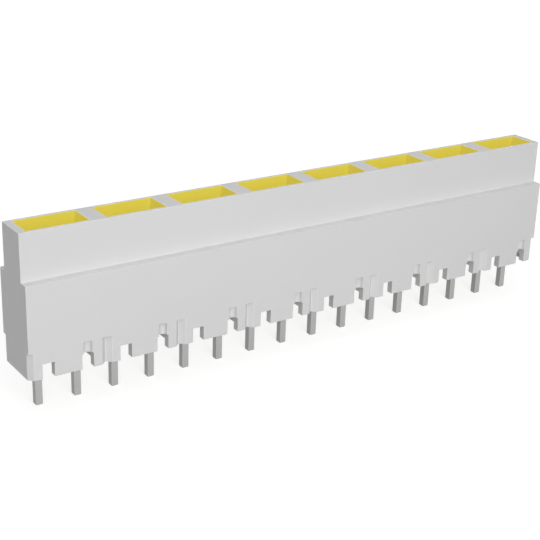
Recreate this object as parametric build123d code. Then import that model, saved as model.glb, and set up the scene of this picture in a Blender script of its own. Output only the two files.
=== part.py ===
from build123d import *
import os

# An eight-segment LED bar: one moulded housing over a row of sixteen pins.
# Millimetres. X runs along the bar, +Y to its back, +Z up.
# The origin is the middle of the pin row, at the plane of the housing's feet.

# Cells and pins
pin_pitch = 2.54
cell_count = 8
pin_width = 0.46
lead_thickness = 0.46
pin_length = 2.54
pin_tip_chamfer = 0.06

# Housing, outside
end_trim = 0.03
base_depth = 3.66
top_depth = 2.40
shoulder_height = 6.00
body_height = 9.00

# Housing, underside
skirt_wall = 0.50
tray_height = 0.50
pocket_height = 1.30
notch_width = 0.77
notch_height = 0.95

# Break lines between the cells, and the mark over each cathode pin
groove_web = 0.17
groove_height = 1.75
mark_radius = 0.28

# Windows and wells
window_bridge = 1.08
window_rim = 0.20
lead_cover = 0.10
cup_cover = 0.15

# Resin lens
recess_depth = 1.60
recess_lip = 0.04
recess_film = 0.20

# Lead tops
lead_top = 4.10
cup_radius = 0.60
cup_height = 0.55
cup_mouth_radius = 0.45
cup_floor_radius = 0.27
cup_floor_depth = 0.28
stem_width = 0.70
stem_rise = 0.90
post_reach = 0.42
post_height = 1.00

# Chip and bond wire
chip_size = 0.30
chip_height = 0.20
wire_radius = 0.025
wire_side_count = 6
wire_loop = 0.35
wire_knee = 0.10
wire_bury = 0.10

# Sizes that follow
cell_pitch = 2 * pin_pitch
bar_length = cell_count * cell_pitch - 2 * end_trim
cell_centres = [(i - (cell_count - 1) / 2) * cell_pitch for i in range(cell_count)]
cell_borders = [(i - cell_count / 2) * cell_pitch for i in range(cell_count + 1)]
front = -base_depth / 2
hollow_depth = base_depth - 2 * skirt_wall
pocket_length = pin_pitch + notch_width
groove_depth = skirt_wall - groove_web
window_length = cell_pitch - window_bridge
window_depth = top_depth - 2 * window_rim
well_floor_length = pin_pitch + pin_width + 2 * lead_cover
well_floor_depth = 2 * (cup_radius + cup_cover)
chip_floor = lead_top - cup_floor_depth
chip_top = chip_floor + chip_height


def end_profile():
    # The bar's section: a wide base with a narrower top standing on it.
    wide = base_depth / 2
    narrow = top_depth / 2
    corners = [
        (-wide, 0),
        (wide, 0),
        (wide, shoulder_height),
        (narrow, shoulder_height),
        (narrow, body_height),
        (-narrow, body_height),
        (-narrow, shoulder_height),
        (-wide, shoulder_height),
    ]
    return Polygon(*corners, align=None)


def underside_hollow():
    # A shallow tray inside the skirt, with a deeper pocket round each pair of pins.
    tray = extrude(Rectangle(bar_length - 2 * skirt_wall, hollow_depth), tray_height)
    pockets = [Pos(x, 0) * Rectangle(pocket_length, hollow_depth) for x in cell_centres]
    return tray + extrude(Sketch() + pockets, pocket_height)


def pin_notches():
    # Openings in the skirt in front of and behind every pin.
    places = [x + side * pin_pitch / 2 for x in cell_centres for side in (-1, 1)]
    openings = [Pos(x, notch_height / 2) * Rectangle(notch_width, notch_height) for x in places]
    return extrude(Plane.XZ * (Sketch() + openings), base_depth, both=True)


def break_grooves():
    # Vertical V-grooves at every cell border. At the bar's ends they leave chamfered corners.
    grooves = Sketch()
    for x in cell_borders:
        for face in (-1, 1):
            edge = face * base_depth / 2
            root = edge - face * groove_depth
            beyond = edge + face * groove_depth
            width = 2 * face * groove_depth
            corners = [(x, root), (x + width, beyond), (x - width, beyond)]
            grooves += Polygon(*corners, align=None)
    return extrude(grooves, groove_height)


def cathode_marks():
    # A half-round groove above each cathode pin's front notch.
    marks = [Pos(x + pin_pitch / 2, front) * Circle(mark_radius) for x in cell_centres]
    return extrude(Sketch() + marks, groove_height)


def tapered_block(floor, mouth, low, high):
    # A straight-sided block between two rectangles, each given as (length, depth).
    sections = [Pos(0, 0, low) * Rectangle(*floor), Pos(0, 0, high) * Rectangle(*mouth)]
    return loft(sections)


def well():
    # The space of one light well, from the underside's pocket to the window.
    floor = (well_floor_length, well_floor_depth)
    return tapered_block(floor, (window_length, window_depth), pocket_height, body_height)


def housing():
    body = extrude(Plane.YZ * end_profile(), bar_length / 2, both=True)
    body -= underside_hollow()
    body -= pin_notches()
    body -= break_grooves()
    body -= cathode_marks()
    for x in cell_centres:
        body -= Pos(x, 0) * well()
    return body


def lens_recess():
    # The dish in a lens's top: its walls start a lip inside the window and thicken downwards.
    share_up = (body_height - recess_depth - pocket_height) / (body_height - pocket_height)
    length_there = well_floor_length + share_up * (window_length - well_floor_length)
    depth_there = well_floor_depth + share_up * (window_depth - well_floor_depth)
    floor = (length_there - 2 * recess_film, depth_there - 2 * recess_film)
    mouth = (window_length - 2 * recess_lip, window_depth - 2 * recess_lip)
    return tapered_block(floor, mouth, body_height - recess_depth, body_height)


def lead_blade(corners):
    # A flat lead cut from sheet, from its outline in (x, z).
    blade = extrude(Plane.XZ * Polygon(*corners, align=None), lead_thickness / 2, both=True)
    tip = blade.faces().sort_by(Axis.Z)[0]
    return chamfer(tip.edges(), pin_tip_chamfer)


def anode_lead():
    # The left pin: a straight blade whose top widens towards the chip, for the wire.
    centre = -pin_pitch / 2
    outer = centre - pin_width / 2
    inner = centre + pin_width / 2
    reach = centre + post_reach
    return lead_blade([
        (outer, -pin_length),
        (inner, -pin_length),
        (inner, lead_top - post_height),
        (reach, lead_top - post_height / 2),
        (reach, lead_top),
        (outer, lead_top),
    ])


def cathode_lead():
    # The right pin: its blade leans in to a stem that carries the chip's round reflector cup.
    centre = pin_pitch / 2
    outer = centre + pin_width / 2
    inner = centre - pin_width / 2
    stem_top = lead_top - cup_height
    bend = stem_top - stem_rise
    blade = lead_blade([
        (inner, -pin_length),
        (outer, -pin_length),
        (outer, bend),
        (stem_width / 2, stem_top - stem_rise / 4),
        (stem_width / 2, stem_top),
        (-stem_width / 2, stem_top),
        (-stem_width / 2, stem_top - stem_rise / 2),
        (inner, bend - stem_rise / 2),
    ])
    cup = extrude(Pos(0, 0, stem_top) * Circle(cup_radius), cup_height)
    bowl = Solid.make_cone(
        cup_floor_radius,
        cup_mouth_radius,
        cup_floor_depth,
        Plane((0, 0, chip_floor)),
    )
    return blade + cup - bowl


def chip():
    return Pos(0, 0, chip_floor) * extrude(Rectangle(chip_size, chip_size), chip_height)


def bond_wire():
    # A fine wire that rises from the chip's top, crosses, and comes down on the anode post.
    post_x = -pin_pitch / 2 + post_reach / 2
    crown = lead_top + wire_loop
    path = Plane.XZ * Polyline(
        (0, chip_top - wire_bury),
        (0, crown - wire_knee),
        (post_x / 2, crown),
        (post_x, lead_top - wire_bury),
    )
    section = Plane(path @ 0, z_dir=path % 0) * RegularPolygon(wire_radius, wire_side_count)
    return sweep(section, path, transition=Transition.RIGHT) - chip() - anode_lead()


def lens():
    # Tinted resin that fills the well round the leads, dished at the window.
    resin = well() - lens_recess()
    for piece in (anode_lead(), cathode_lead(), chip(), bond_wire()):
        resin -= piece
    return resin


def save(shape, node):
    export_step(shape, f"parts/{node}.step")


os.makedirs("parts", exist_ok=True)
save(housing(), "housing")
cell_pieces = {
    "lens": lens(),
    "anode_lead": anode_lead(),
    "cathode_lead": cathode_lead(),
    "chip": chip(),
    "bond_wire": bond_wire(),
}
for number, x in enumerate(cell_centres, 1):
    for name, piece in cell_pieces.items():
        save(Pos(x, 0) * piece, f"{name}_{number}")
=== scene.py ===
import math

import bmesh
import bpy
from mathutils import Matrix, Vector


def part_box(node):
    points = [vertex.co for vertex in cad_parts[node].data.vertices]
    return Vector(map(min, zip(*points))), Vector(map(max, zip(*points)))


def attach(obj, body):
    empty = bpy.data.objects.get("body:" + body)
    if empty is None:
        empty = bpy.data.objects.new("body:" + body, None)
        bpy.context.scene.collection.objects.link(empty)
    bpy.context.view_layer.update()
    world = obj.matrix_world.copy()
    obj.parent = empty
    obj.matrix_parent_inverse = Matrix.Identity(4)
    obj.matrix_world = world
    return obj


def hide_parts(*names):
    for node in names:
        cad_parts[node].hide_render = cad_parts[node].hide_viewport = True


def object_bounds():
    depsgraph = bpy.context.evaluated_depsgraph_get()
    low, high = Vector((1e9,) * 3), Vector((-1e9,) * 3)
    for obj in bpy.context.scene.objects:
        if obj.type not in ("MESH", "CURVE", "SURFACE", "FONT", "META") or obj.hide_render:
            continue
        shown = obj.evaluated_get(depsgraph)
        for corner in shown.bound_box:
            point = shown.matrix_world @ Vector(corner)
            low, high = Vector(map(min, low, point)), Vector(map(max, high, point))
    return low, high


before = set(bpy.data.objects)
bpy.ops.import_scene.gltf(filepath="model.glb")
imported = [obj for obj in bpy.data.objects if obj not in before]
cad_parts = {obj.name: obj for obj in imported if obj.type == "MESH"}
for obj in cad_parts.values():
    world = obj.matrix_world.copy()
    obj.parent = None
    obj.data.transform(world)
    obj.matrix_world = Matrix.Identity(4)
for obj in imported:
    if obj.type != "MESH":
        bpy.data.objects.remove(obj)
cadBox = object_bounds()
millimetres = 1000  # in a metre: the frame is in metres, the trees below work in millimetres
toMillimetres = Matrix.Scale(millimetres, 4)
toMetres = Matrix.Scale(1 / millimetres, 4)
print("frame loaded,", len(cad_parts), "nodes")


# Small helpers for node trees

mixSockets = {"FLOAT": (2, 3, 0), "VECTOR": (4, 5, 1), "RGBA": (6, 7, 2)}  # two inputs and the result


def addNode(tree, kind, inputs=None, **settings):
    node = tree.nodes.new(kind)
    for name, value in settings.items():
        setattr(node, name, value)
    for name, value in (inputs or {}).items():
        socket = node.inputs[name]
        if isinstance(value, bpy.types.NodeSocket):
            tree.links.new(value, socket)
        else:
            socket.default_value = value
    return node


def startTree(name, kind, inputs, outputs):
    # an empty tree with its named sockets, each given with its type
    tree = bpy.data.node_groups.new(name, kind)
    for direction, sockets in (("INPUT", inputs), ("OUTPUT", outputs)):
        for label, socketType in sockets.items():
            tree.interface.new_socket(label, in_out=direction, socket_type="NodeSocket" + socketType)
    return tree, tree.nodes.new("NodeGroupInput").outputs, tree.nodes.new("NodeGroupOutput").inputs


def computed(tree, operation, *values):
    return addNode(tree, "ShaderNodeMath", dict(enumerate(values)), operation=operation).outputs[0]


def blended(tree, kind, amount, first, second):
    low, high, result = mixSockets[kind]
    node = addNode(tree, "ShaderNodeMix", {0: amount, low: first, high: second}, data_type=kind)
    return node.outputs[result]


def scaled(tree, socket, factors):
    node = addNode(tree, "ShaderNodeVectorMath", {0: socket, 1: factors}, operation="MULTIPLY")
    return node.outputs[0]


# Shader groups that more than one finish uses

textures = {
    "drift": {"Detail": 3.0, "Roughness": 0.55},
    "grain": {"Detail": 4.0, "Roughness": 0.6},
    "streaks": {"Detail": 5.0, "Roughness": 0.6},
    "patches": {"Detail": 2.0},
    "patchRange": {"From Min": 0.35, "From Max": 0.65, "To Min": 0.35, "To Max": 1.0},
    "shearedAndShadedRange": {"From Min": 0.55, "From Max": 0.95},  # how far a face is turned along the bar
    "noiseMiddle": 0.5,
}


def makeGrainGroup():
    # fine moulding grain: slow tone drift, uneven gloss, a low pebble for the bump
    tree, given, result = startTree("mouldingGrain", "ShaderNodeTree", {
        "Vector": "Vector",
        "Color": "Color",
        "Tone Drift": "Float",
        "Drift Scale": "Float",
        "Roughness": "Float",
        "Gloss Spread": "Float",
        "Grain Scale": "Float",
    }, {"Color": "Color", "Roughness": "Float", "Height": "Float"})
    drift = addNode(tree, "ShaderNodeTexNoise", {
        "Vector": given["Vector"], "Scale": given["Drift Scale"], **textures["drift"]}).outputs["Fac"]
    centred = computed(tree, "SUBTRACT", drift, textures["noiseMiddle"])
    amount = computed(tree, "MULTIPLY_ADD", centred, given["Tone Drift"], 1.0)
    tint = addNode(tree, "ShaderNodeVectorMath", {
        0: given["Color"], "Scale": amount}, operation="SCALE")
    grain = addNode(tree, "ShaderNodeTexNoise", {
        "Vector": given["Vector"], "Scale": given["Grain Scale"], **textures["grain"]}).outputs["Fac"]
    gloss = computed(tree, "SUBTRACT", grain, textures["noiseMiddle"])
    rough = computed(tree, "MULTIPLY_ADD", gloss, given["Gloss Spread"], given["Roughness"])
    tree.links.new(tint.outputs["Vector"], result["Color"])
    tree.links.new(rough, result["Roughness"])
    tree.links.new(grain, result["Height"])
    return tree


def makeEdgeGroup():
    # handled edges: the rounded bands turn a little paler and smoother, in patches
    tree, given, result = startTree("edgeWear", "ShaderNodeTree", {
        "Vector": "Vector",
        "Color": "Color",
        "Edge Color": "Color",
        "Roughness": "Float",
        "Edge Roughness": "Float",
        "Amount": "Float",
        "Patch Scale": "Float",
    }, {"Color": "Color", "Roughness": "Float"})
    band = addNode(tree, "ShaderNodeAttribute", attribute_name="edgeBand").outputs["Fac"]
    patches = addNode(tree, "ShaderNodeTexNoise", {
        "Vector": given["Vector"], "Scale": given["Patch Scale"], **textures["patches"]}).outputs["Fac"]
    spread = addNode(tree, "ShaderNodeMapRange", {
        "Value": patches, **textures["patchRange"]}).outputs["Result"]
    share = computed(tree, "MULTIPLY", band, spread)
    mask = computed(tree, "MULTIPLY", share, given["Amount"])
    color = blended(tree, "RGBA", mask, given["Color"], given["Edge Color"])
    rough = blended(tree, "FLOAT", mask, given["Roughness"], given["Edge Roughness"])
    tree.links.new(color, result["Color"])
    tree.links.new(rough, result["Roughness"])
    return tree


grainGroup = makeGrainGroup()
edgeGroup = makeEdgeGroup()


# Finishes

housingLook = {
    "color": (0.645, 0.645, 0.65, 1.0),
    "edgeColor": (0.74, 0.74, 0.745, 1.0),
    "roughness": 0.48,
    "edgeRoughness": 0.36,
    "edgeAmount": 0.55,
    "patchScale": 450.0,
    "toneDrift": 0.035,
    "driftScale": 140.0,
    "glossSpread": 0.10,
    "grainScale": 9000.0,
    "bumpStrength": 0.12,
    "bumpDepth": 0.00002,
    "ior": 1.5,
}
resinLook = {
    "color": (0.35, 0.295, 0.037, 1.0),
    "edgeColor": (0.38, 0.33, 0.055, 1.0),
    "roughness": 0.30,
    "edgeRoughness": 0.24,
    "edgeAmount": 0.5,
    "patchScale": 500.0,
    "toneDrift": 0.05,
    "driftScale": 380.0,
    "glossSpread": 0.08,
    "grainScale": 4000.0,
    "bumpStrength": 0.08,
    "bumpDepth": 0.00003,
    "ior": 1.53,
    # painted light: how strongly the resin glows with its own colour
    "glow": 0.9,
    "coat": 0.25,
    "coatRoughness": 0.12,
}
platingLook = {
    "color": (0.42, 0.42, 0.415, 1.0),
    "shearedAndShadedColor": (0.26, 0.26, 0.255, 1.0),
    "edgeColor": (0.48, 0.48, 0.47, 1.0),
    "roughness": 0.38,
    "edgeRoughness": 0.30,
    "edgeAmount": 0.5,
    "patchScale": 900.0,
    "toneDrift": 0.10,
    "driftScale": 900.0,
    "glossSpread": 0.16,
    "grainScale": 5000.0,
    "streakStretch": (9.0, 9.0, 0.5),
    "streakScale": 1500.0,
    "bumpStrength": 0.2,
    "bumpDepth": 0.00001,
}
chipLook = dict(
    platingLook,
    color=(0.20, 0.19, 0.17, 1.0),
    shearedAndShadedColor=(0.16, 0.15, 0.14, 1.0),
    edgeColor=(0.30, 0.28, 0.25, 1.0),
    roughness=0.22,
    streakStretch=(1.0, 1.0, 1.0),
)
goldLook = dict(
    platingLook,
    color=(0.90, 0.66, 0.27, 1.0),
    shearedAndShadedColor=(0.90, 0.66, 0.27, 1.0),
    edgeColor=(0.95, 0.74, 0.36, 1.0),
    roughness=0.20,
)


def startMaterial(name):
    material = bpy.data.materials.new(name)
    material.use_nodes = True
    tree = material.node_tree
    shader = tree.nodes["Principled BSDF"]
    place = addNode(tree, "ShaderNodeTexCoord").outputs["Object"]
    return material, tree, shader, place


def addGrain(tree, place, color, look):
    return addNode(tree, "ShaderNodeGroup", {
        "Vector": place,
        "Color": color,
        "Tone Drift": look["toneDrift"],
        "Drift Scale": look["driftScale"],
        "Roughness": look["roughness"],
        "Gloss Spread": look["glossSpread"],
        "Grain Scale": look["grainScale"],
    }, node_tree=grainGroup).outputs


def linkSurface(tree, shader, place, grain, height, look):
    # worn edges over the grain, and a bump from the height
    worn = addNode(tree, "ShaderNodeGroup", {
        "Vector": place,
        "Color": grain["Color"],
        "Edge Color": look["edgeColor"],
        "Roughness": grain["Roughness"],
        "Edge Roughness": look["edgeRoughness"],
        "Amount": look["edgeAmount"],
        "Patch Scale": look["patchScale"],
    }, node_tree=edgeGroup).outputs
    bump = addNode(tree, "ShaderNodeBump", {
        "Height": height,
        "Strength": look["bumpStrength"],
        "Distance": look["bumpDepth"],
    }).outputs["Normal"]
    tree.links.new(worn["Color"], shader.inputs["Base Color"])
    tree.links.new(worn["Roughness"], shader.inputs["Roughness"])
    tree.links.new(bump, shader.inputs["Normal"])
    return worn


def makePlastic(name, look):
    material, tree, shader, place = startMaterial(name)
    grain = addGrain(tree, place, look["color"], look)
    linkSurface(tree, shader, place, grain, grain["Height"], look)
    shader.inputs["IOR"].default_value = look["ior"]
    return material


def makeResin(name, look):
    # a clear yellow tint under a glossy skin; it glows with its own colour, painted light that evens
    # out the shade on its walls
    material, tree, shader, place = startMaterial(name)
    grain = addGrain(tree, place, look["color"], look)
    worn = linkSurface(tree, shader, place, grain, grain["Height"], look)
    # painted light: the resin glows with its own worn colour though it is no lamp, so its walls show
    # little shade
    tree.links.new(worn["Color"], shader.inputs["Emission Color"])
    shader.inputs["Emission Strength"].default_value = look["glow"]
    shader.inputs["IOR"].default_value = look["ior"]
    shader.inputs["Coat Weight"].default_value = look["coat"]
    shader.inputs["Coat Roughness"].default_value = look["coatRoughness"]
    return material


def makePlating(name, look):
    # rolled and plated metal: fine streaks along the pin, a slow cloudiness in the tin,
    # and darker metal on the sides that face along the bar, partly the duller metal where the lead was
    # sheared from its sheet and partly painted shade
    material, tree, shader, place = startMaterial(name)
    turned = addNode(tree, "ShaderNodeTexCoord").outputs["Normal"]
    sideways = addNode(tree, "ShaderNodeSeparateXYZ", {0: turned}).outputs["X"]
    # painted shade: faces turned along the bar take the darker colour
    shearedAndShaded = addNode(tree, "ShaderNodeMapRange", {
        "Value": computed(tree, "ABSOLUTE", sideways), **textures["shearedAndShadedRange"]}).outputs["Result"]
    metal = blended(tree, "RGBA", shearedAndShaded, look["color"], look["shearedAndShadedColor"])
    stretched = addNode(tree, "ShaderNodeMapping", {"Vector": place, "Scale": look["streakStretch"]})
    streaks = addNode(tree, "ShaderNodeTexNoise", {
        "Vector": stretched.outputs["Vector"],
        "Scale": look["streakScale"],
        **textures["streaks"],
    }).outputs["Fac"]
    grain = addGrain(tree, place, metal, look)
    linkSurface(tree, shader, place, grain, streaks, look)
    shader.inputs["Metallic"].default_value = 1.0
    return material


housingPlastic = makePlastic("housingPlastic", housingLook)
yellowResin = makeResin("yellowResin", resinLook)
tinPlating = makePlating("tinPlating", platingLook)
chipSurface = makePlating("chipSurface", chipLook)
goldWire = makePlating("goldWire", goldLook)
print("finishes ready")


# Sizes read from the frame, in millimetres

def nodeBox(node):
    low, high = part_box(node)
    return low * millimetres, high * millimetres


barLow, barHigh = nodeBox("housing")
windowLow, windowHigh = nodeBox("lens_1")
cellPitch = nodeBox("lens_2")[0].x - windowLow.x
cellCount = sum(node.startswith("lens_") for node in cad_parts)
cellNumbers = range(1, cellCount + 1)
pinsPerCell = 2
pinPitch = cellPitch / pinsPerCell
firstCell = (windowLow.x + windowHigh.x) / 2
barSize = barHigh - Vector((barLow.x, barLow.y, 0))
print("bar", [round(side, 3) for side in barSize], "cells", cellCount, "pitch", round(cellPitch, 3))


# Pieces made by a tree

bandSlot = 2  # the slot that a bevel gives its faces
sharpAngle = 35  # degrees, from where an edge is eased
mergeDistance = 0.002  # millimetres, for points that a cut leaves on top of each other


def bevelBand(mesh, material):
    # the bevel's faces become a mask, and one slot with the finish stays
    band = mesh.attributes.new("edgeBand", "FLOAT", "CORNER")
    for face in mesh.polygons:
        inBand = 1.0 if face.material_index == bandSlot else 0.0
        for corner in face.loop_indices:
            band.data[corner].value = inBand
        face.material_index = 0
    mesh.materials.clear()
    mesh.materials.append(material)


def carrier(name, material, mesh=None):
    # an object for the modifiers, with enough slots for the bevel's own
    source = bpy.data.objects.new(name, mesh or bpy.data.meshes.new(name))
    bpy.context.scene.collection.objects.link(source)
    source.data.materials.clear()
    for slot in range(bandSlot + 1):
        source.data.materials.append(material)
    return source


def addTree(source, tree, values):
    modifier = source.modifiers.new(tree.name, "NODES")
    modifier.node_group = tree
    sockets = {item.name: item.identifier for item in tree.interface.items_tree
               if item.in_out == "INPUT"}
    for name, value in values.items():
        modifier[sockets[name]] = value


def addBevel(source, width, segments, byWeight=False):
    bevel = source.modifiers.new("softEdges", "BEVEL")
    bevel.width = width
    bevel.segments = segments
    bevel.limit_method = "WEIGHT" if byWeight else "ANGLE"
    bevel.angle_limit = math.radians(sharpAngle)
    bevel.use_clamp_overlap = False
    bevel.material = bandSlot
    bevel.harden_normals = True


def settleMesh(source, name, material):
    # the evaluated result as a plain mesh object in metres, with no modifier left
    bpy.context.view_layer.update()
    shown = source.evaluated_get(bpy.context.evaluated_depsgraph_get())
    mesh = bpy.data.meshes.new_from_object(shown)
    mesh.name = name
    bevelBand(mesh, material)
    mesh.transform(toMetres)
    bpy.data.objects.remove(source)
    piece = bpy.data.objects.new(name, mesh)
    bpy.context.scene.collection.objects.link(piece)
    return piece


def box(tree, size):
    return addNode(tree, "GeometryNodeMeshCube", {"Size": size}).outputs["Mesh"]


def moved(tree, shape, place):
    return addNode(tree, "GeometryNodeTransform", {"Geometry": shape, "Translation": place}).outputs[0]


def taperedBox(tree, floorSize, mouthSize, low, high):
    # a block from one rectangle up to a larger one: a unit cube whose sides follow its height
    height = computed(tree, "SUBTRACT", high, low)
    middle = computed(tree, "MULTIPLY", computed(tree, "ADD", high, low), 0.5)
    size = addNode(tree, "ShaderNodeCombineXYZ", {"X": 1.0, "Y": 1.0, "Z": height}).outputs[0]
    place = addNode(tree, "GeometryNodeInputPosition").outputs[0]
    upward = addNode(tree, "ShaderNodeSeparateXYZ", {0: place}).outputs["Z"]
    isTop = computed(tree, "GREATER_THAN", upward, 0.0)
    spread = scaled(tree, place, blended(tree, "VECTOR", isTop, floorSize, mouthSize))
    lift = addNode(tree, "ShaderNodeCombineXYZ", {"Z": middle}).outputs[0]
    lifted = addNode(tree, "ShaderNodeVectorMath", {0: spread, 1: lift}, operation="ADD").outputs[0]
    return addNode(tree, "GeometryNodeSetPosition", {
        "Geometry": box(tree, size), "Position": lifted}).outputs[0]


def repeated(tree, shape, count, start, step):
    row = addNode(tree, "GeometryNodeMeshLine", {
        "Count": count, "Start Location": start, "Offset": step}).outputs["Mesh"]
    return addNode(tree, "GeometryNodeInstanceOnPoints", {
        "Points": row, "Instance": shape}).outputs["Instances"]


def combined(tree, operation, shapes, body=None):
    # one closed mesh from the realized shapes, with the points that a cut leaves doubled merged
    node = addNode(tree, "GeometryNodeMeshBoolean", operation=operation, solver="MANIFOLD")
    if body:
        tree.links.new(body, node.inputs["Mesh 1"])
    for shape in shapes:
        solid = addNode(tree, "GeometryNodeRealizeInstances", {0: shape}).outputs[0]
        tree.links.new(solid, node.inputs["Mesh 2"])
    return addNode(tree, "GeometryNodeMergeByDistance", {
        "Geometry": node.outputs["Mesh"], "Distance": mergeDistance}).outputs[0]


def endTree(tree, shape, material, result):
    plain = addNode(tree, "GeometryNodeRealizeInstances", {0: shape}).outputs[0]
    dressed = addNode(tree, "GeometryNodeSetMaterial", {"Geometry": plain, "Material": material})
    tree.links.new(dressed.outputs[0], result["Geometry"])
    return tree


# Housing: one moulding, cut by cell from a plain block

housingSizes = {
    "topDepth": 2.40,
    "shoulder": 6.00,
    "skirtWall": 0.50,
    "trayHeight": 0.50,
    "pocketHeight": 1.30,
    "notchWidth": 0.77,
    "notchHeight": 0.95,
    "grooveDepth": 0.33,
    "grooveHeight": 1.75,
    "markRadius": 0.28,
    "markSides": 28,
    "wellFloor": (3.20, 1.50),
    "edgeRadius": 0.024,  # the rim between well and pocket is only 0.055 wide
    "edgeSegments": 3,
    "beyond": 0.6,  # how far a cutter runs past the faces it opens
}
wellFloor = Vector((*housingSizes["wellFloor"], 1))
wellMouth = Vector((windowHigh.x - windowLow.x, windowHigh.y - windowLow.y, 1))


def makeHousingTree(material):
    tree, given, result = startTree("mouldedBar", "GeometryNodeTree", {
        "Geometry": "Geometry",
        "Bar Size": "Vector",
        "Shoulder Cut": "Vector",
        "Shoulder Place": "Vector",
        "Cells": "Int",
        "Cell Start": "Vector",
        "Cell Step": "Vector",
        "Tray Cut": "Vector",
        "Pocket Cut": "Vector",
        "Notches": "Int",
        "Notch Start": "Vector",
        "Notch Step": "Vector",
        "Notch Cut": "Vector",
        "Grooves": "Int",
        "Groove Start": "Vector",
        "Groove Cut": "Vector",
        "Mark Start": "Vector",
        "Mark Radius": "Float",
        "Mark Height": "Float",
        "Mark Sides": "Int",
        "Well Floor": "Vector",
        "Well Mouth": "Vector",
        "Well Low": "Float",
        "Well High": "Float",
    }, {"Geometry": "Geometry"})
    halfHeight = scaled(tree, given["Bar Size"], (0, 0, 0.5))
    body = moved(tree, box(tree, given["Bar Size"]), halfHeight)

    cutters = []
    shoulder = box(tree, given["Shoulder Cut"])
    for side in (1, -1):
        place = scaled(tree, given["Shoulder Place"], (1, side, 1))
        cutters.append(moved(tree, shoulder, place))
    cutters.append(box(tree, given["Tray Cut"]))
    # the pocket's ends lie flush with its notches, so the three are one cutter
    pocket = box(tree, given["Pocket Cut"])
    notch = box(tree, given["Notch Cut"])
    notches = repeated(tree, notch, given["Notches"], given["Notch Start"], given["Notch Step"])
    opening = combined(tree, "UNION", [pocket, notches])
    well = taperedBox(tree, given["Well Floor"], given["Well Mouth"],
                      given["Well Low"], given["Well High"])
    for shape in (opening, well):
        cutters.append(repeated(tree, shape, given["Cells"], given["Cell Start"], given["Cell Step"]))
    # a square bar on its corner cuts a V into each face
    diamond = addNode(tree, "GeometryNodeTransform", {
        "Geometry": box(tree, given["Groove Cut"]),
        "Rotation": (0, 0, math.radians(45)),
    }).outputs[0]
    for side in (1, -1):
        start = scaled(tree, given["Groove Start"], (1, side, 1))
        cutters.append(repeated(tree, diamond, given["Grooves"], start, given["Cell Step"]))
    mark = addNode(tree, "GeometryNodeMeshCylinder", {
        "Vertices": given["Mark Sides"],
        "Radius": given["Mark Radius"],
        "Depth": given["Mark Height"],
    }).outputs["Mesh"]
    cutters.append(repeated(tree, mark, given["Cells"], given["Mark Start"], given["Cell Step"]))
    return endTree(tree, combined(tree, "DIFFERENCE", cutters, body), material, result)


def makeHousing():
    sizes = housingSizes
    beyond = sizes["beyond"]
    front = barSize.y / 2
    height = barSize.z
    slope = (wellMouth - wellFloor) / (height - sizes["pocketHeight"])
    hollowDepth = barSize.y - 2 * sizes["skirtWall"]
    grooveSide = sizes["grooveDepth"] * math.sqrt(2)
    source = carrier("housingSource", housingPlastic)
    addTree(source, makeHousingTree(housingPlastic), {
        "Bar Size": barSize,
        "Shoulder Cut": (barSize.x + 2 * beyond, barSize.y, 2 * (height - sizes["shoulder"])),
        "Shoulder Place": (0, (sizes["topDepth"] + barSize.y) / 2, height),
        "Cells": cellCount,
        "Cell Start": (firstCell, 0, 0),
        "Cell Step": (cellPitch, 0, 0),
        "Tray Cut": (barSize.x - 2 * sizes["skirtWall"], hollowDepth, 2 * sizes["trayHeight"]),
        "Pocket Cut": (pinPitch + sizes["notchWidth"], hollowDepth, 2 * sizes["pocketHeight"]),
        "Notches": pinsPerCell,
        "Notch Start": (-pinPitch / 2, 0, 0),
        "Notch Step": (pinPitch, 0, 0),
        "Notch Cut": (sizes["notchWidth"], barSize.y + 2 * beyond, 2 * sizes["notchHeight"]),
        "Grooves": cellCount + 1,
        "Groove Start": (firstCell - cellPitch / 2, front, 0),
        "Groove Cut": (grooveSide, grooveSide, 2 * sizes["grooveHeight"]),
        "Mark Start": (firstCell + pinPitch / 2, -front, 0),
        "Mark Radius": sizes["markRadius"],
        "Mark Height": 2 * sizes["grooveHeight"],
        "Mark Sides": sizes["markSides"],
        "Well Floor": wellFloor - slope * beyond,
        "Well Mouth": wellMouth + slope * beyond,
        "Well Low": sizes["pocketHeight"] - beyond,
        "Well High": height + beyond,
    })
    addBevel(source, sizes["edgeRadius"], sizes["edgeSegments"])
    piece = settleMesh(source, "mouldedHousing", housingPlastic)
    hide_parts("housing")
    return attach(piece, "root")


housingPiece = makeHousing()
print("housing", len(housingPiece.data.polygons), "faces")


# Resin: one dished block for each window

resinSizes = {
    "recessDepth": 1.60,
    "recessLip": 0.04,  # between the dish and the window, at the top
    "recessFilm": 0.20,  # beside the dish's floor
    "meniscus": 0.30,
    "rimSoftness": 0.055,  # share of the meniscus that the rim gets
    "segments": 5,
    "beyond": 0.4,  # how far the dish's cutter runs past the top
    "sameHeight": 0.01,  # how near an edge lies to the floor or rim that it belongs to
}


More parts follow.
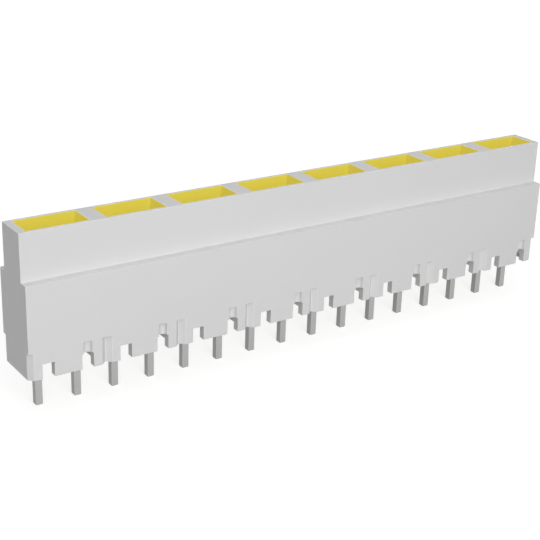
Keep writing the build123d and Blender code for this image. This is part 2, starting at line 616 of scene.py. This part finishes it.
def makeResinTree(material):
    tree, given, result = startTree("dishedResin", "GeometryNodeTree", {
        "Geometry": "Geometry",
        "Cell Place": "Vector",
        "Block Floor": "Vector",
        "Block Mouth": "Vector",
        "Block Low": "Float",
        "Block High": "Float",
        "Dish Floor": "Vector",
        "Dish Mouth": "Vector",
        "Dish Low": "Float",
        "Dish High": "Float",
        "Rim Softness": "Float",
        "Same Height": "Float",
    }, {"Geometry": "Geometry"})
    block = taperedBox(tree, given["Block Floor"], given["Block Mouth"],
                       given["Block Low"], given["Block High"])
    dish = taperedBox(tree, given["Dish Floor"], given["Dish Mouth"],
                      given["Dish Low"], given["Dish High"])
    dished = combined(tree, "DIFFERENCE", [dish], block)
    # the dish's floor edges get the full meniscus, its rim a little, the rest stays sharp
    place = addNode(tree, "GeometryNodeInputPosition").outputs[0]
    upward = addNode(tree, "ShaderNodeSeparateXYZ", {0: place}).outputs["Z"]
    atFloor = computed(tree, "COMPARE", upward, given["Dish Low"], given["Same Height"])
    atRim = computed(tree, "COMPARE", upward, given["Block High"], given["Same Height"])
    weighted = addNode(tree, "GeometryNodeStoreNamedAttribute", {
        "Geometry": dished,
        "Name": "bevel_weight_edge",
        "Value": computed(tree, "MULTIPLY_ADD", atRim, given["Rim Softness"], atFloor),
    }, data_type="FLOAT", domain="EDGE").outputs[0]
    return endTree(tree, moved(tree, weighted, given["Cell Place"]), material, result)


def makeResins():
    sizes = resinSizes
    tree = makeResinTree(yellowResin)
    low, high = windowLow.z, windowHigh.z
    dishLow = high - sizes["recessDepth"]
    film = Vector((2 * sizes["recessFilm"], 2 * sizes["recessFilm"], 0))
    lip = Vector((2 * sizes["recessLip"], 2 * sizes["recessLip"], 0))
    dishFloor = wellFloor + (wellMouth - wellFloor) * (dishLow - low) / (high - low) - film
    dishMouth = wellMouth - lip
    slope = (dishMouth - dishFloor) / sizes["recessDepth"]
    pieces = []
    for number in cellNumbers:
        source = carrier("resinSource", yellowResin)
        addTree(source, tree, {
            "Cell Place": (firstCell + (number - 1) * cellPitch, 0, 0),
            "Block Floor": wellFloor,
            "Block Mouth": wellMouth,
            "Block Low": low,
            "Block High": high,
            "Dish Floor": dishFloor,
            "Dish Mouth": dishMouth + slope * sizes["beyond"],
            "Dish Low": dishLow,
            "Dish High": high + sizes["beyond"],
            "Rim Softness": sizes["rimSoftness"],
            "Same Height": sizes["sameHeight"],
        })
        addBevel(source, sizes["meniscus"], sizes["segments"], byWeight=True)
        piece = settleMesh(source, f"resinWindow_{number}", yellowResin)
        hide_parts(f"lens_{number}")
        pieces.append(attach(piece, "root"))
    return pieces


resinPieces = makeResins()
print("resin windows", len(resinPieces), "with", len(resinPieces[0].data.polygons), "faces each")


# Leads: the stamped metal with its edges eased

leadSizes = {
    "edgeRadius": 0.028,
    "edgeSegments": 2,
    "flatAngle": 1.0,  # degrees, up to which two triangles are one flat face
}


def makeLead(node, name):
    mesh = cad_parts[node].data.copy()
    mesh.transform(toMillimetres)
    work = bmesh.new()
    work.from_mesh(mesh)
    bmesh.ops.remove_doubles(work, verts=work.verts, dist=mergeDistance)
    bmesh.ops.dissolve_limit(work, angle_limit=math.radians(leadSizes["flatAngle"]),
                             verts=work.verts, edges=work.edges)
    work.to_mesh(mesh)
    work.free()
    source = carrier(name + "Source", tinPlating, mesh)
    addBevel(source, leadSizes["edgeRadius"], leadSizes["edgeSegments"])
    piece = settleMesh(source, name, tinPlating)
    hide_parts(node)
    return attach(piece, "root")


leadPieces = []
for number in cellNumbers:
    leadPieces.append(makeLead(f"anode_lead_{number}", f"anodeLead_{number}"))
    leadPieces.append(makeLead(f"cathode_lead_{number}", f"cathodeLead_{number}"))
print("leads", len(leadPieces), "with", len(leadPieces[1].data.polygons), "faces in the larger")

# The chips and wires keep their own meshes, inside the resin
for number in cellNumbers:
    for node, material in ((f"chip_{number}", chipSurface), (f"bond_wire_{number}", goldWire)):
        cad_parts[node].data.materials.clear()
        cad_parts[node].data.materials.append(material)
print("chips and wires dressed")


# Floor, world, lamps and camera

stageLook = {
    "floorHalf": 1.5,
    "floorColor": (0.35, 0.35, 0.35, 1.0),
    "floorRoughness": 0.9,
    "nearGlow": 0.77,  # at the feet, where the bar's shadow falls
    "farGlow": 0.92,
    "glowReach": (0.004, 0.06),  # metres from the middle, in which the one becomes the other
    "glowShape": (0.3, 1.0, 0.0),  # drawn out along the bar
    "worldLight": 0.25,
    "worldShown": 1.0,
    "white": (1.0, 1.0, 1.0, 1.0),
}
lamps = {
    "leftSoftbox": {"place": (-0.116, -0.233, 0.153), "size": 0.16, "power": 0.188},
    "lowSoftbox": {"place": (-0.100, -0.250, 0.060), "size": 0.12, "power": 0.235},
    "topSoftbox": {"place": (0.0, 0.0, 0.30), "size": 0.30, "power": 0.215},
    "nearSoftbox": {"place": (-0.015, -0.080, 0.060), "size": 0.04, "power": 0.029},
}
view = {
    "place": (-0.045199, -0.062389, 0.032683),
    "yaw": 34.485,  # from +Y towards +X
    "pitch": -21.465,
    "roll": 1.824,
    "lens": 82.07,
    "clipStart": 0.005,
}


def seenDirectly(tree):
    # 1 for the rays that show the backdrop: straight from the camera, off gloss or through glass
    path = addNode(tree, "ShaderNodeLightPath").outputs
    mirrored = computed(tree, "MAXIMUM", path["Is Glossy Ray"], path["Is Transmission Ray"])
    return computed(tree, "MAXIMUM", path["Is Camera Ray"], mirrored)


def makeFloor():
    half = stageLook["floorHalf"]
    mesh = bpy.data.meshes.new("floor")
    corners = [(x * half, y * half, cadBox[0].z) for x, y in ((-1, -1), (1, -1), (1, 1), (-1, 1))]
    mesh.from_pydata(corners, [], [(0, 1, 2, 3)])
    floor = bpy.data.objects.new("floor", mesh)
    bpy.context.scene.collection.objects.link(floor)
    material, tree, shader, place = startMaterial("paleFloor")
    shader.inputs["Base Color"].default_value = stageLook["floorColor"]
    shader.inputs["Roughness"].default_value = stageLook["floorRoughness"]
    shader.inputs["Specular IOR Level"].default_value = 0.0
    # it glows white where it is seen, a little less at the feet, so that the shadow shows
    drawnOut = scaled(tree, place, stageLook["glowShape"])
    away = addNode(tree, "ShaderNodeVectorMath", {0: drawnOut}, operation="LENGTH").outputs["Value"]
    glow = addNode(tree, "ShaderNodeMapRange", {
        "Value": away,
        "From Min": stageLook["glowReach"][0],
        "From Max": stageLook["glowReach"][1],
        "To Min": stageLook["nearGlow"],
        "To Max": stageLook["farGlow"],
    }).outputs["Result"]
    shownGlow = computed(tree, "MULTIPLY", seenDirectly(tree), glow)
    tree.links.new(shownGlow, shader.inputs["Emission Strength"])
    shader.inputs["Emission Color"].default_value = stageLook["white"]
    # from below the floor can be looked through, so that the underside can be seen
    below = addNode(tree, "ShaderNodeNewGeometry").outputs["Backfacing"]
    clear = addNode(tree, "ShaderNodeBsdfTransparent").outputs[0]
    both = addNode(tree, "ShaderNodeMixShader", {0: below, 1: shader.outputs[0], 2: clear}).outputs[0]
    tree.links.new(both, tree.nodes["Material Output"].inputs["Surface"])
    mesh.materials.append(material)


def makeWorld():
    world = bpy.data.worlds.new("studio")
    bpy.context.scene.world = world
    world.use_nodes = True
    tree = world.node_tree
    background = tree.nodes["Background"]
    background.inputs["Color"].default_value = stageLook["white"]
    light, shown = stageLook["worldLight"], stageLook["worldShown"]
    strength = blended(tree, "FLOAT", seenDirectly(tree), light, shown)
    tree.links.new(strength, background.inputs["Strength"])


def makeLamp(name, lamp, target):
    light = bpy.data.lights.new(name, "AREA")
    light.shape = "SQUARE"
    light.size = lamp["size"]
    light.energy = lamp["power"]
    holder = bpy.data.objects.new(name, light)
    holder.location = lamp["place"]
    holder.visible_camera = False
    holder.rotation_euler = (target - holder.location).to_track_quat("-Z", "Y").to_euler()
    bpy.context.scene.collection.objects.link(holder)


def makeCamera():
    camera = bpy.data.cameras.new("photoCamera")
    camera.lens = view["lens"]
    camera.clip_start = view["clipStart"]
    holder = bpy.data.objects.new("photoCamera", camera)
    # a camera looks straight down until it is tilted up
    turn = Matrix.Rotation(math.radians(-view["yaw"]), 4, "Z")
    turn = turn @ Matrix.Rotation(math.radians(90 + view["pitch"]), 4, "X")
    turn = turn @ Matrix.Rotation(math.radians(view["roll"]), 4, "Z")
    holder.matrix_world = Matrix.Translation(view["place"]) @ turn
    bpy.context.scene.collection.objects.link(holder)
    bpy.context.scene.camera = holder


makeFloor()
makeWorld()
aim = (cadBox[0] + cadBox[1]) / 2
for lampName, lamp in lamps.items():
    makeLamp(lampName, lamp, aim)
makeCamera()
bpy.context.scene.view_settings.view_transform = "Standard"
print("stage set")
